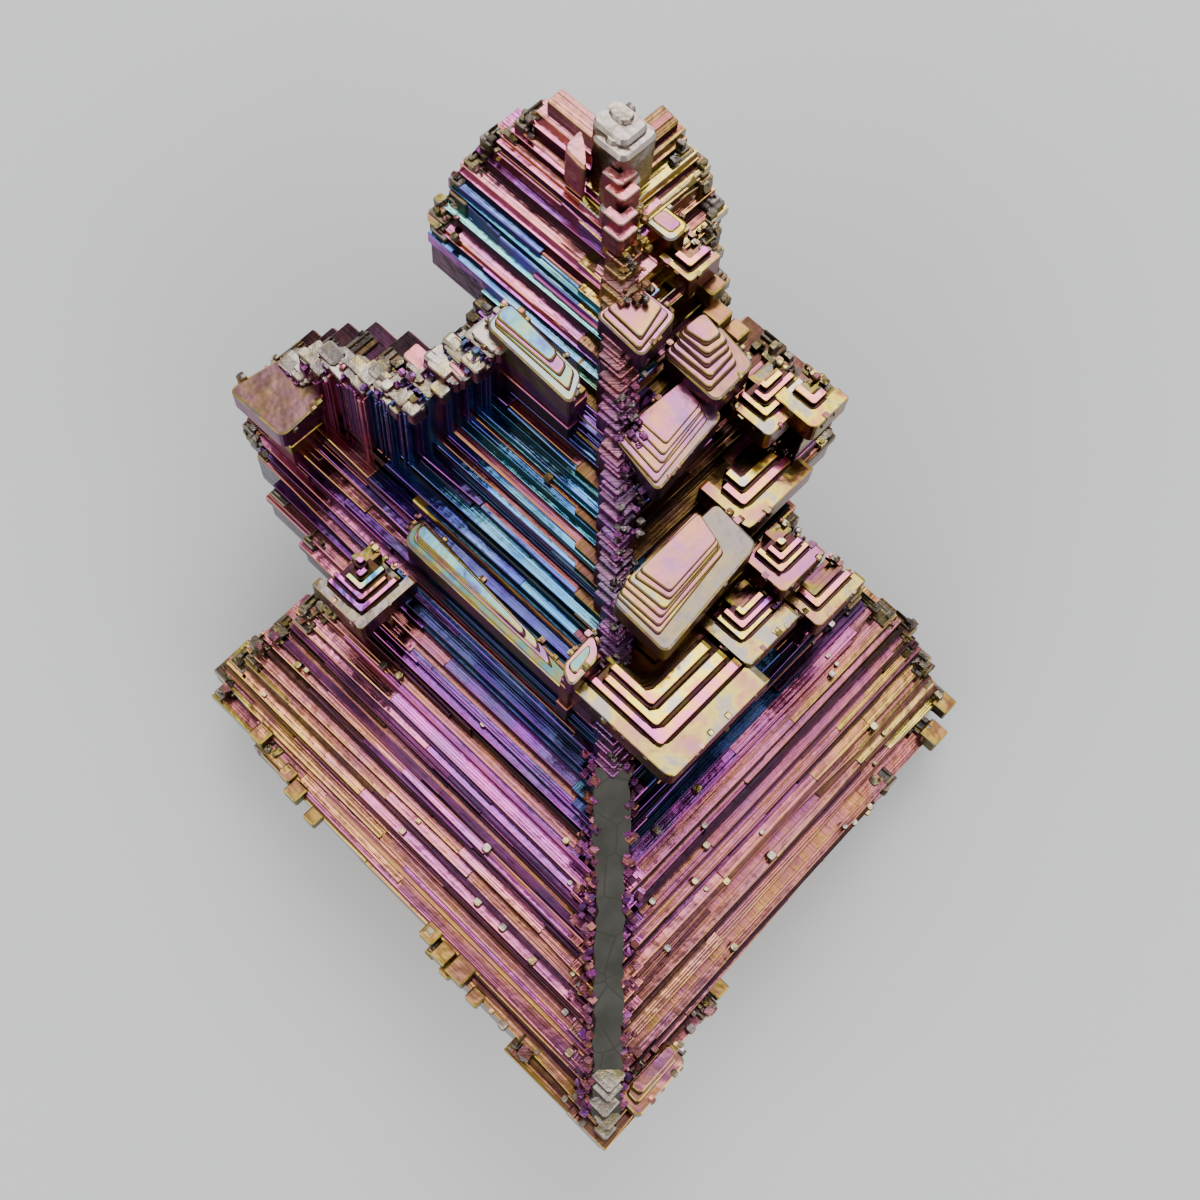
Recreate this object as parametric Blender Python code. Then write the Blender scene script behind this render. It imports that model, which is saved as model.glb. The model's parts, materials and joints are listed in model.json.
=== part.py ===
"""Bismuth hopper crystal, about 70 mm long, in metres, +Z up, lying on a flat broken facet.

One skeletal crystal: V-shaped terraces climb from a low tip along a spine, and their arms reach
out in three lobes on each side. Ragged rims close the ends of the arms, stepped hopper plates
stand on the spine, and the back and underside step down to the facet that it rests on.

Everything is cut along the crystal's own three axes, so it is built from bars in crystal
millimetres (left arm, right arm, growth) and then turned as one body to the way it lies.
"""

import math
import random

import bmesh
import bpy
from mathutils import Matrix, Vector

MM = 0.001

# Attitude: where the growth axis leans, which way the left arms run, and where the tip is.
GROWTH_LEAN_X = 0.06
GROWTH_LEAN_Y = 0.40
LEFT_ARM_HEADING = math.radians(138.0)
TIP = Vector((1.29, -33.13, 14.5))

# Terraces: heights of the steps in turn, depth of a bar, how thick the arms are, and how uneven they are.
STEPS = (0.7, 1.2, 0.6, 0.9, 1.3, 0.8, 0.6, 1.1)
BAR_DEPTH = 3.2
ARM_THICKNESS = 3.6
CROWN = 38.0
REACH_JITTER = 0.55
EDGE_JITTER = 0.12
RIM_STOPS_BELOW = 2.5

# How far each arm reaches from the tip's corner, by growth height: three lobes on each side.
LEFT_REACH = (
    (0.0, 9.0), (0.9, 21.0), (1.5, 33.0), (2.2, 41.0), (3.0, 43.0), (7.0, 41.0), (12.4, 37.8),
    (12.9, 44.5), (14.8, 50.0),
    (16.2, 52.2), (20.0, 49.6), (21.6, 47.0), (22.6, 42.5), (27.6, 39.4), (28.4, 45.8),
    (31.4, 46.4), (34.8, 44.8), (36.7, 42.6), (38.7, 40.0),
)
RIGHT_REACH = (
    (0.0, 8.0), (0.9, 13.5), (1.7, 31.5), (2.4, 38.4), (3.2, 40.2), (8.6, 40.4), (11.4, 38.4), (13.5, 35.6), (19.2, 35.8),
    (19.8, 41.8), (21.8, 43.2), (25.4, 40.4), (26.6, 37.0), (28.6, 39.4), (31.5, 41.0),
    (32.8, 42.0), (36.0, 41.2), (38.7, 40.4),
)

# Core: growth height of each block's underside, and how far it reaches along both arms.
CORE = (
    (-3.4, 27.0), (-1.6, 30.5), (0.6, 33.0), (3.0, 34.6), (6.0, 35.8), (10.0, 36.4),
    (14.0, 36.8), (18.0, 37.2), (22.0, 37.5), (26.0, 37.9), (30.0, 38.2), (33.0, 38.4),
)
CORE_DEPTH = 4.3

# Hopper plates: near corner (left, right, top), arms (left, right), inner ledges, mound or pit.
PLATES = (
    ("low_block", (-0.3, 2.7, 2.6), (2.2, 5.0), 1, "mound"),
    ("great_hopper", (11.3, 16.4, 20.6), (8.7, 8.3), 3, "pit"),
    ("petal", (19.4, 15.3, 22.6), (2.4, 3.5), 0, "mound"),
    ("taupe_plate", (16.9, 19.6, 25.0), (4.4, 9.8), 3, "mound"),
    ("stair_block", (12.9, 24.4, 21.0), (4.4, 4.9), 2, "pit"),
    ("stair_block_upper", (14.3, 28.8, 23.0), (3.8, 4.0), 2, "pit"),
    ("end_block", (11.7, 30.1, 19.7), (3.0, 4.7), 1, "pit"),
    ("gold_ledge", (18.5, 30.2, 23.6), (4.2, 6.2), 2, "pit"),
    ("gold_hopper", (21.1, 34.2, 27.0), (4.0, 4.9), 2, "pit"),
    ("gold_hopper_end", (19.3, 36.3, 27.6), (3.6, 3.3), 1, "pit"),
    ("grey_plate", (22.8, 26.2, 28.0), (4.6, 6.8), 2, "mound"),
    ("nested_plate", (22.8, 32.4, 29.4), (6.2, 3.4), 2, "mound"),
    ("lump", (28.4, 30.0, 32.2), (4.0, 3.8), 1, "mound"),
    ("mauve_plate", (32.0, 35.3, 33.8), (2.6, 2.8), 1, "pit"),
    ("small_hopper", (29.8, 35.6, 32.8), (2.6, 2.8), 1, "pit"),
    ("left_hopper", (32.7, 10.2, 17.2), (4.6, 4.9), 2, "pit"),
    ("long_plate", (18.4, 14.9, 19.0), (16.6, 2.5), 0, "mound"),
    ("pearl_plate", (29.7, 25.2, 30.8), (7.8, 3.0), 1, "mound"),
    ("corner_block", (45.1, 13.9, 22.0), (4.4, 6.0), 0, "mound"),
)
OUTER_LEDGE = 0.26
INNER_LEDGE = 0.09
LEDGE_RISE = 0.45
PIT_DEPTH = 1.3

# Small cubes that sit in clusters on the edges: the near low corner of each, and its side.
CUBES = (
    ((14.2, 0.1, 0.1), 1.9), ((16.0, 0.4, 0.3), 1.6), ((12.6, -0.5, -0.3), 1.3),
    ((17.6, 0.9, 0.9), 1.5), ((15.3, -0.6, -0.4), 1.1), ((31.6, 1.2, 1.3), 1.4),
    ((33.0, 1.8, 1.6), 1.2), ((29.6, 1.0, 0.9), 1.2), ((36.2, 2.2, 2.1), 1.4),
    ((27.6, 36.3, 28.2), 1.6), ((26.4, 36.9, 27.4), 1.4), ((28.9, 37.0, 29.4), 1.5),
    ((1.6, 36.4, 1.8), 1.7), ((2.6, 38.7, 2.4), 1.5), ((1.0, 12.2, 0.6), 1.3),
)
PLATE_THICKNESS = 1.7
STEM_INSET = 1.6

# The broken wall that closes the top of the middle left lobe: the far corner of each block.
LEFT_WALL = (
    (48.4, 19.8, 22.8), (46.9, 20.7, 24.0), (45.2, 21.2, 25.0), (43.3, 21.2, 26.0),
    (41.7, 21.5, 26.4), (40.3, 21.7, 27.2), (39.7, 23.0, 27.9), (39.2, 24.3, 28.7),
    (38.6, 25.5, 29.5), (38.0, 26.6, 30.3),
)
WALL_BLOCK = (2.4, 1.8)

# The blunt ridge bar along the spine, from the tip to the great hopper.
RIDGE_WIDTH = 2.7
RIDGE_DEPTH = 3.0
RIDGE_FROM = 1.6
RIDGE_TO = 15.5
RIDGE_LIFT = 0.62

# The grain that every cut plane is rounded to, each bar on planes of its own.
GRAIN = 0.02
PLANES_IN_USE = (set(), set(), set())

# Square pits that step into the back faces: centre along the arm and in growth, and half width.
BACK_PITS = ((22.4, 5.6, 4.2), (29.6, 12.6, 4.9))
PIT_RINGS = 3
PIT_STEP = 1.1


def crystal_axes():
    """Unit vectors of the left arm, the right arm and growth, as the crystal lies."""
    rise = math.sqrt(1 - GROWTH_LEAN_X**2 - GROWTH_LEAN_Y**2)
    growth = Vector((GROWTH_LEAN_X, GROWTH_LEAN_Y, rise))
    heading = Vector((math.cos(LEFT_ARM_HEADING), math.sin(LEFT_ARM_HEADING), 0))
    heading.z = -heading.dot(growth) / growth.z
    left = heading.normalized()
    right = left.cross(growth).normalized()
    return left, right, growth


def crystal_to_world():
    """Turns crystal millimetres into metres in the frame where the crystal lies."""
    left, right, growth = crystal_axes()
    turn = Matrix((right, left, growth)).transposed().to_4x4()
    return Matrix.Scale(MM, 4) @ Matrix.Translation(TIP) @ turn


def own_plane(axis, value):
    """The nearest cut plane on this axis that no other bar uses, so no two faces coincide."""
    slot = round(value / GRAIN)
    for offset in range(200):
        for free in (slot + offset, slot - offset):
            if free not in PLANES_IN_USE[axis]:
                PLANES_IN_USE[axis].add(free)
                return free * GRAIN
    return value


def add_bar(mesh, low, high):
    """One bar along the crystal axes; corners are given as left, right, growth."""
    low = Vector([own_plane(axis, low[axis]) for axis in (1, 0, 2)])
    high = Vector([own_plane(axis, high[axis]) for axis in (1, 0, 2)])
    size = high - low
    place = Matrix.Translation((low + high) / 2) @ Matrix.Diagonal((*size, 1))
    bmesh.ops.create_cube(mesh, size=1, matrix=place)


def reach_at(profile, height):
    """The arm's reach at one growth height, on straight lines between the listed ones."""
    for (h0, r0), (h1, r1) in zip(profile, profile[1:]):
        if height <= h1:
            return r0 + (r1 - r0) * (height - h0) / (h1 - h0)
    return profile[-1][1]


def terrace_heights():
    """The growth height of each terrace, up to the crown."""
    height = 0.0
    level = 0
    while height < CROWN:
        yield height
        height += STEPS[level % len(STEPS)]
        level += 1


def add_terraces(mesh, chance):
    """The V-shaped terraces, each one step in and one step up from the last."""
    for top in terrace_heights():
        edge = top + chance.uniform(-EDGE_JITTER, EDGE_JITTER)
        thick = min(edge + ARM_THICKNESS, CROWN)
        low = top - BAR_DEPTH + chance.uniform(-0.2, 0.2)
        left = reach_at(LEFT_REACH, top) + chance.uniform(-REACH_JITTER, REACH_JITTER)
        right = reach_at(RIGHT_REACH, top) + chance.uniform(-REACH_JITTER, REACH_JITTER)
        add_bar(mesh, (edge, edge + 0.031, low), (left, thick + 0.011, top + 0.007))
        add_bar(mesh, (edge + 0.017, edge, low + 0.05), (thick, right, top - 0.013))


def add_rims(mesh, chance):
    """Small uneven blocks that stand on the ends of the arms."""
    for top in terrace_heights():
        if top > CROWN - RIM_STOPS_BELOW:
            return
        for profile, side in ((LEFT_REACH, 0), (RIGHT_REACH, 1)):
            end = reach_at(profile, top) + chance.uniform(-0.5, 0.5)
            width = chance.uniform(0.9, 2.0)
            rise = chance.uniform(0.35, 1.5)
            back = min(top + chance.uniform(1.3, 2.4), CROWN)
            front = top + chance.uniform(0.04, 0.3)
            low = [end - width, front, top - 1.9]
            high = [end, back, top + rise]
            if side:
                low[0], low[1] = low[1], low[0]
                high[0], high[1] = high[1], high[0]
            add_bar(mesh, low, high)


def add_core(mesh):
    """The mass behind the terraces, in blocks that grow outwards as they climb."""
    for index, (height, far) in enumerate(CORE):
        shift = 0.043 * (index % 3)
        top = height + CORE_DEPTH + shift
        near = max(top, 2.0) + 0.3
        add_bar(mesh, (near, near + 0.02, height), (far, far - 0.5 + shift, top))


def add_ledge(mesh, near, far, bottom, top, width):
    """One L-shaped ledge: a bar along each arm, meeting at the near corner."""
    add_bar(mesh, (near[0], near[1], bottom), (far[0], near[1] + width, top))
    add_bar(mesh, (near[0], near[1], bottom), (near[0] + width, far[1], top))


def add_plate(mesh, corner, arms, ledges, middle):
    """A hopper plate: a slab with L-shaped ledges that climb inwards to a mound or a pit."""
    near = Vector(corner[:2])
    far = near + Vector(arms)
    top = corner[2]
    slab_low = top - PLATE_THICKNESS
    small = min(arms)
    outer = OUTER_LEDGE * small
    inner = INNER_LEDGE * (small + 3)
    width = outer + ledges * inner
    if middle == "pit":
        add_ledge(mesh, near, far, slab_low, top, width)
        add_bar(mesh, (*(near + Vector((0.2, 0.2))), slab_low - 0.4), (*far, top - PIT_DEPTH))
    else:
        add_bar(mesh, (*near, slab_low), (*far, top))
    for index in range(ledges):
        step = outer + index * inner
        rise = top + LEDGE_RISE * (index + 1)
        first = near + Vector((step, step))
        if middle == "mound":
            add_bar(mesh, (*first, top - 0.5), (*(far - Vector((0.2, 0.2)) * index), rise))
        else:
            add_ledge(mesh, first, far, top - 0.7, rise, inner * (ledges - index))
    foot = min(near) + 0.4
    inset = min(STEM_INSET, 0.35 * small)
    stem = near + Vector((inset, inset))
    add_bar(mesh, (*stem, min(foot, slab_low - 2.0)), (*(far - Vector((0.2, 0.2))), slab_low + 0.4))


def add_cubes(mesh):
    """Clusters of small cubes that start new steps on the edges."""
    for corner, side in CUBES:
        add_bar(mesh, corner, [place + side for place in corner])


def add_left_wall(mesh):
    """The tall broken wall at the top of the middle left lobe."""
    for index, (left, right, top) in enumerate(LEFT_WALL):
        near = right - WALL_BLOCK[1] - 0.3 * (index % 2)
        add_bar(mesh, (left - WALL_BLOCK[0], near, near - 1.6), (left, right, top))


def add_ridge(mesh):
    """The blunt bar that lies on the lower spine."""
    along = Vector((1, 1, 1)).normalized()
    out = Vector((-1, -1, 2)).normalized()
    across = out.cross(along)
    length = (RIDGE_TO - RIDGE_FROM) * math.sqrt(3)
    centre = Vector((1, 1, 1)) * (RIDGE_FROM + RIDGE_TO) / 2
    centre += out * (RIDGE_LIFT - RIDGE_DEPTH / 2)
    turn = Matrix((along, across, out)).transposed().to_4x4()
    size = Matrix.Diagonal((length, RIDGE_WIDTH, RIDGE_DEPTH, 1))
    bmesh.ops.create_cube(mesh, size=1, matrix=Matrix.Translation(centre) @ turn @ size)


def add_spine(mesh, chance):
    """Corner blocks that raise the upper spine into a stepped rib."""
    height = RIDGE_TO
    while height < CROWN - 1.5:
        side = chance.uniform(1.9, 2.7)
        near = height - chance.uniform(0.5, 0.8)
        top = height + chance.uniform(1.2, 1.9)
        add_bar(mesh, (near, near + 0.05, height - 2.4), (near + side, near + side + 0.3, top))
        height += chance.uniform(1.0, 1.35)
    add_bar(mesh, (35.6, 35.4, 33.5), (38.3, 38.5, 38.6))
    add_bar(mesh, (36.4, 36.1, 34.0), (38.6, 37.9, 39.3))


def add_back_pits(mesh):
    """Square stepped pits, as cutters, on the two big faces at the back."""
    for along, growth, half in BACK_PITS:
        for ring in range(PIT_RINGS):
            depth = 1.0 + PIT_STEP * ring
            reach = half - 1.3 * ring
            low = (33.0 - depth + 3.0, along - reach, growth - reach)
            high = (44.0, along + reach, growth + reach)
            add_bar(mesh, low, high)
            add_bar(mesh, (low[1], low[0], low[2]), (high[1], high[0], high[2]))


def mesh_object(name, collection, build):
    """A mesh object in a collection, filled by build in crystal millimetres, then laid down."""
    mesh = bmesh.new()
    build(mesh)
    mesh.transform(crystal_to_world())
    data = bpy.data.meshes.new(name)
    mesh.to_mesh(data)
    mesh.free()
    made = bpy.data.objects.new(name, data)
    collection.objects.link(made)
    return made


def add_boolean(target, operation, other):
    modifier = target.modifiers.new(operation.lower(), "BOOLEAN")
    modifier.operation = operation
    modifier.solver = "EXACT"
    modifier.use_self = True
    modifier.object = other
    return modifier


def island_of(start):
    """All the faces joined to this one by edges."""
    found = {start}
    waiting = [start]
    while waiting:
        for edge in waiting.pop().edges:
            for face in edge.link_faces:
                if face not in found:
                    found.add(face)
                    waiting.append(face)
    return found


def keep_outer_shell(crystal):
    """Applies the booleans, and fills the small closed bubbles left between bars."""
    graph = bpy.context.evaluated_depsgraph_get()
    solid = bpy.data.meshes.new_from_object(crystal.evaluated_get(graph))
    crystal.modifiers.clear()
    mesh = bmesh.new()
    mesh.from_mesh(solid)
    outer = set()
    left = set(mesh.faces)
    while left:
        island = island_of(next(iter(left)))
        left -= island
        if len(island) > len(outer):
            outer = island
    bubbles = [face for face in mesh.faces if face not in outer]
    bmesh.ops.delete(mesh, geom=bubbles, context="FACES")
    mesh.to_mesh(crystal.data)
    mesh.free()
    bpy.data.meshes.remove(solid)


def bismuth_material():
    material = bpy.data.materials.new("oxidised_bismuth")
    material.use_nodes = True
    shader = material.node_tree.nodes["Principled BSDF"]
    shader.inputs["Base Color"].default_value = (0.42, 0.24, 0.40, 1)
    shader.inputs["Metallic"].default_value = 1.0
    shader.inputs["Roughness"].default_value = 0.3
    return material


def floor_cutter(collection):
    """A slab below the floor, which leaves the flat facet that the crystal rests on."""
    mesh = bmesh.new()
    bmesh.ops.create_cube(mesh, size=0.2, matrix=Matrix.Translation((0, 0, -0.1)))
    data = bpy.data.meshes.new("floor_cutter")
    mesh.to_mesh(data)
    mesh.free()
    made = bpy.data.objects.new("floor_cutter", data)
    collection.objects.link(made)
    return made


def build():
    for old in list(bpy.data.objects):
        bpy.data.objects.remove(old)
    shown = bpy.data.collections.new("bismuth_hopper_crystal")
    helpers = bpy.data.collections.new("cutters")
    bpy.context.scene.collection.children.link(shown)
    bpy.context.scene.collection.children.link(helpers)
    helpers.hide_render = True
    chance = random.Random(11)

    def growth(mesh):
        add_core(mesh)
        add_terraces(mesh, chance)
        add_rims(mesh, chance)
        add_ridge(mesh)
        add_spine(mesh, chance)
        add_left_wall(mesh)
        add_cubes(mesh)
        for _, corner, arms, ledges, middle in PLATES:
            add_plate(mesh, corner, arms, ledges, middle)

    def seed(mesh):
        add_bar(mesh, (20.3, 20.1, -1.1), (33.3, 33.1, 18.6))

    crystal = mesh_object("bismuth_crystal", shown, seed)
    growths = mesh_object("growths", helpers, growth)
    pits = mesh_object("back_pits", helpers, add_back_pits)
    floor = floor_cutter(helpers)
    add_boolean(crystal, "UNION", growths)
    add_boolean(crystal, "DIFFERENCE", pits)
    add_boolean(crystal, "DIFFERENCE", floor)
    keep_outer_shell(crystal)
    crystal.data.materials.append(bismuth_material())
    for helper in (growths, pits, floor):
        helper.display_type = "WIRE"
        helper.hide_render = True


build()
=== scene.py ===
"""A bismuth hopper crystal lying on a flat facet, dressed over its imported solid.

Lengths in the sections below are crystal millimetres along the crystal's own three axes: the left
arm, the right arm and growth. lay_down() puts each bar in metres, as the crystal lies.
"""

import json
import math
import random

import bpy
import numpy as np
from mathutils import Euler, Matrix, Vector

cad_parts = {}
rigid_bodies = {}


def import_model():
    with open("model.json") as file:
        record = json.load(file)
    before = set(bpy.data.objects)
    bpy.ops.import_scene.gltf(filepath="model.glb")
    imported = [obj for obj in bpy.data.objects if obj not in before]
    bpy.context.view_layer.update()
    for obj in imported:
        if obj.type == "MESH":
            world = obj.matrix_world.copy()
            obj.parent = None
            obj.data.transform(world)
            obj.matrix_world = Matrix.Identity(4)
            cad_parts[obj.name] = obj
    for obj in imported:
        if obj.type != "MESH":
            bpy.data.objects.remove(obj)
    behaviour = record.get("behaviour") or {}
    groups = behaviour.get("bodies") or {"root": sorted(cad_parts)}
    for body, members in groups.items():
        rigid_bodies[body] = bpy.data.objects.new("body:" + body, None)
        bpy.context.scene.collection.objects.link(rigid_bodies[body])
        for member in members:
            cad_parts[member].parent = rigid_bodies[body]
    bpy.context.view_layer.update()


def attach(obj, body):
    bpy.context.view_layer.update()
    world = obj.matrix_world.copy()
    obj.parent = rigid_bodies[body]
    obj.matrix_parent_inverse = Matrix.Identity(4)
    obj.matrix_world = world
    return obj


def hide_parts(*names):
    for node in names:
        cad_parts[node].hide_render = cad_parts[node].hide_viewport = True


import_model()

# ------------------------------------------------
# The crystal's own axes. The whole specimen grew along three directions at right angles, and it
# lies with its growth axis leaning towards the rounded top lobe.

TIP = Vector((1.29, -33.13, 14.5))
GROWTH = Vector((0.06, 0.40, math.sqrt(1 - 0.06**2 - 0.40**2)))
LEFT_HEADING = math.radians(138.0)
MM = 0.001

heading = Vector((math.cos(LEFT_HEADING), math.sin(LEFT_HEADING), 0))
heading.z = -heading.dot(GROWTH) / GROWTH.z
LEFT = heading.normalized()
RIGHT = LEFT.cross(GROWTH).normalized()
CRYSTAL_AXES = np.array((LEFT, RIGHT, GROWTH))


def enter(mode):
    bpy.ops.object.mode_set(mode=mode)


def select_only(*wanted):
    """Leaves just these objects selected, the last of them active."""
    if bpy.context.object and bpy.context.object.mode != "OBJECT":
        enter("OBJECT")
    bpy.ops.object.select_all(action="DESELECT")
    for thing in wanted:
        thing.select_set(True)
        bpy.context.view_layer.objects.active = thing


# ------------------------------------------------
# The growth patterns: a straight bar with worn edges, a slab with rounded corners, an L-shaped
# ledge and a rough crumb. All the metal is copies of these, each grown to its own size. Each face
# carries the thickness of its oxide film, how dark it is painted (mostly painted shade, with some
# random tone), and how much bare metal shows.

TOP, SIDE, UNDER, EDGE = range(4)
CHAMFER = 0.05
SLAB_CORNER = 0.2
LEDGE_CORNER = 0.5
LEDGE_NOOK = 0.12
QUALITIES = ("film", "shade", "bare", "run")
EVEN = 3  # a run along none of the three axes
LEVEL = 4  # a run along both arms, as on the sides of a block
growing = []  # the copies that the next piece is joined from


def face_kinds(mesh, flatness):
    """Whether each face is the top, a side, the underside or a worn edge."""
    kinds = []
    for face in mesh.polygons:
        upright = abs(face.normal.z)
        if upright > flatness:
            kinds.append(TOP if face.normal.z > 0 else UNDER)
        elif upright < 0.1 or flatness < 0.9:
            kinds.append(SIDE)
        else:
            kinds.append(EDGE)
    return np.array(kinds)


def keep_as_pattern(border=None, flatness=0.99):
    """Adds the qualities that a face carries, and takes the pattern out of the scene."""
    pattern = bpy.context.object
    enter("OBJECT")
    for name in QUALITIES:
        pattern.data.attributes.new(name, "FLOAT", "FACE")
    points = np.empty(len(pattern.data.vertices) * 3)
    pattern.data.vertices.foreach_get("co", points)
    bpy.context.collection.objects.unlink(pattern)
    points = points.reshape(-1, 3)[:, (1, 0, 2)]
    return pattern, points, face_kinds(pattern.data, flatness), border


def choose(kind, wanted):
    """Selects the edges or faces that pass the test, and stays in edit mode."""
    mesh = bpy.context.object.data
    enter("EDIT")
    bpy.ops.mesh.select_mode(type=kind)
    bpy.ops.mesh.select_all(action="DESELECT")
    enter("OBJECT")
    for part in mesh.edges if kind == "EDGE" else mesh.polygons:
        part.select = wanted(part)
    enter("EDIT")


def choose_edges(wanted):
    """Selects the edges whose two ends pass the test."""
    points = bpy.context.object.data.vertices
    choose("EDGE", lambda edge: wanted(*(points[corner].co for corner in edge.vertices)))


def upright(one, other):
    return abs(one.z - other.z) > 0.5


def level(one, other):
    return abs(one.z - other.z) < 0.1


def pattern_bar():
    select_only()
    bpy.ops.mesh.primitive_cube_add(size=1)
    enter("EDIT")
    bpy.ops.mesh.select_all(action="SELECT")
    bpy.ops.mesh.bevel(offset=CHAMFER, segments=1)
    return keep_as_pattern((CHAMFER, CHAMFER, CHAMFER))


def pattern_slab():
    select_only()
    bpy.ops.mesh.primitive_cube_add(size=1)
    choose_edges(upright)
    bpy.ops.mesh.bevel(offset=SLAB_CORNER, segments=4)
    choose_edges(level)
    bpy.ops.mesh.bevel(offset=CHAMFER, segments=1)
    return keep_as_pattern((SLAB_CORNER, SLAB_CORNER, CHAMFER))


def pattern_ledge():
    """Two arms that meet at a rounded corner, each one wide and two long."""
    select_only()
    bpy.ops.mesh.primitive_cube_add(size=1, location=(0.5, 0.5, 0))
    bpy.ops.object.transform_apply(location=True)
    for axis, shift in enumerate(((1, 0, 0), (0, 1, 0))):
        choose("FACE", lambda face: face.normal[axis] > 0.9 and face.center[1 - axis] < 1)
        bpy.ops.mesh.extrude_region_move(TRANSFORM_OT_translate={"value": shift})
    choose_edges(lambda one, other: upright(one, other) and one.xy.length < 0.1)
    bpy.ops.mesh.bevel(offset=LEDGE_CORNER, segments=4)
    choose_edges(lambda one, other: upright(one, other) and (one.xy - Vector((1, 1))).length < 0.1)
    bpy.ops.mesh.bevel(offset=LEDGE_NOOK, segments=1)
    choose("FACE", lambda face: face.normal.z > 0.9)
    bpy.ops.mesh.region_to_loop()
    bpy.ops.mesh.bevel(offset=CHAMFER, segments=1)
    return keep_as_pattern((1, 1, CHAMFER))


def pattern_crumb(seed):
    select_only()
    bpy.ops.mesh.primitive_cube_add(size=1)
    enter("EDIT")
    bpy.ops.mesh.select_all(action="SELECT")
    bpy.ops.mesh.subdivide(number_cuts=1, smoothness=0.3)
    bpy.ops.transform.vertex_random(offset=0.14, seed=seed)
    return keep_as_pattern(None, flatness=0.75)


BAR = pattern_bar()
SLAB = pattern_slab()
LEDGE = pattern_ledge()
CRUMBS = [pattern_crumb(seed) for seed in range(1, 6)]


def lay_down(pattern, placed, film, shade, bare, run, edge, side):
    """Copies the pattern to points in crystal millimetres and sets the qualities of its faces."""
    source, _, kinds, _ = pattern
    world = (placed @ CRYSTAL_AXES + np.array(TIP)) * MM
    copy = source.copy()
    copy.data = source.data.copy()
    copy.data.vertices.foreach_set("co", world.ravel())
    # Painted shade: the sides of a copy are painted dark unless the call says otherwise. Its worn edges
    # get a thinner, more golden film, and calls often give them a lighter shade than its top: partly a
    # real thinner film, partly painted highlight.
    side_film, side_shade = side or (film + 0.05, shade * 0.08)
    edge_film, edge_shade = edge or (film - 0.07, shade)
    side_run = LEVEL if run in (0, 1) else run
    by_kind = {
        "film": (film, side_film, side_film, edge_film),
        "shade": (shade, side_shade, side_shade, edge_shade),
        "bare": (bare, bare * 0.5, bare, bare * 0.6),
        "run": (run, side_run, run, run),
    }
    for name, values in by_kind.items():
        on_faces = np.array(values, float)[kinds]
        copy.data.attributes[name].data.foreach_set("value", on_faces)
    bpy.context.collection.objects.link(copy)
    growing.append(copy)


def spread(pattern, size, wear, corner):
    """The pattern's points grown to a size, with its worn edges kept to their own width."""
    _, points, _, border = pattern
    size = np.maximum(np.array(size, float), 0.02)
    if border is None:
        return points * size
    worn = np.array((corner or wear, corner or wear, wear)) / border
    inset = np.minimum((0.5 - np.abs(points)) * worn, size / 2.1)
    return np.sign(points) * (size / 2 - inset)


def grow(pattern, low, high, film, shade=1.0, bare=0.1, run=0, wear=0.04, corner=None,
         edge=None, side=None, front=(0.0, 0.0), drop=0.0, turn=None):
    """A copy of the pattern between two corners, given as left, right and growth.

    run is the axis that its growth lines follow. front moves the front edge back at its two ends,
    drop lowers it, and turn tips the whole copy by three angles in degrees.
    """
    low = np.array(low, float)
    high = np.array(high, float)
    placed = spread(pattern, high - low, wear, corner)
    points = pattern[1]
    along, across = (1, 0) if run == 1 else (0, 1)
    share = points[:, along] + 0.5
    in_front = points[:, across] < 0
    placed[:, across] += in_front * (front[0] * (1 - share) + front[1] * share)
    placed[:, 2] -= in_front * (points[:, 2] > 0) * drop
    if turn is not None:
        placed = placed @ np.array(Euler([math.radians(angle) for angle in turn]).to_matrix()).T
    lay_down(pattern, placed + (low + high) / 2, film, shade, bare, run, edge, side)


def grow_plate(corners, bottom, top, film, shade=1.0, bare=0.1, run=EVEN, wear=0.06,
               corner=0.3, edge=None, side=None):
    """A slab over four corners, listed near, right, far and left as (left, right) pairs."""
    near, right, far, left = (np.array(pair, float) for pair in corners)
    size = np.array((np.linalg.norm(left - near), np.linalg.norm(right - near), top - bottom))
    placed = spread(SLAB, size, wear, corner)
    up = (placed[:, :1] / size[0]) + 0.5
    out = (placed[:, 1:2] / size[1]) + 0.5
    nearer = near * (1 - up) * (1 - out) + right * (1 - up) * out
    flat = nearer + far * up * out + left * up * (1 - out)
    placed = np.column_stack((flat, placed[:, 2] + (bottom + top) / 2))
    lay_down(SLAB, placed, film, shade, bare, run, edge, side)


def grow_ledge(near, far, widths, bottom, top, film, shade=1.0, bare=0.1, wear=0.06,
               edge=None, side=None):
    """An L-shaped ledge round its near corner; widths are its width in left and in right."""
    points = LEDGE[1]
    placed = np.empty_like(points)
    for axis in (0, 1):
        reach = points[:, axis]
        width = widths[axis]
        beyond = width + (reach - 1) * (far[axis] - near[axis] - width)
        placed[:, axis] = near[axis] + np.where(reach <= 1, reach * width, beyond)
    inset = (0.5 - np.abs(points[:, 2])) * wear / CHAMFER
    placed[:, 2] = np.where(points[:, 2] > 0, top - inset, bottom + inset)
    lay_down(LEDGE, placed, film, shade, bare, EVEN, edge, side)


def join(name, finish):
    """Makes one piece of all that grew since the last one, riding on the crystal's body."""
    select_only(*growing)
    growing.clear()
    bpy.ops.object.join()
    piece = bpy.context.object
    piece.name = name
    piece.data.name = name
    piece.data.materials.clear()
    piece.data.materials.append(finish)
    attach(piece, "root")
    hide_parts("bismuth_crystal")
    return piece


# ------------------------------------------------
# The oxide film: bare bismuth is a pinkish silver, and the skin that formed while it was hot shows
# thin-film colours, from gold through rose and violet to blue and green as it thickens.

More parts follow.
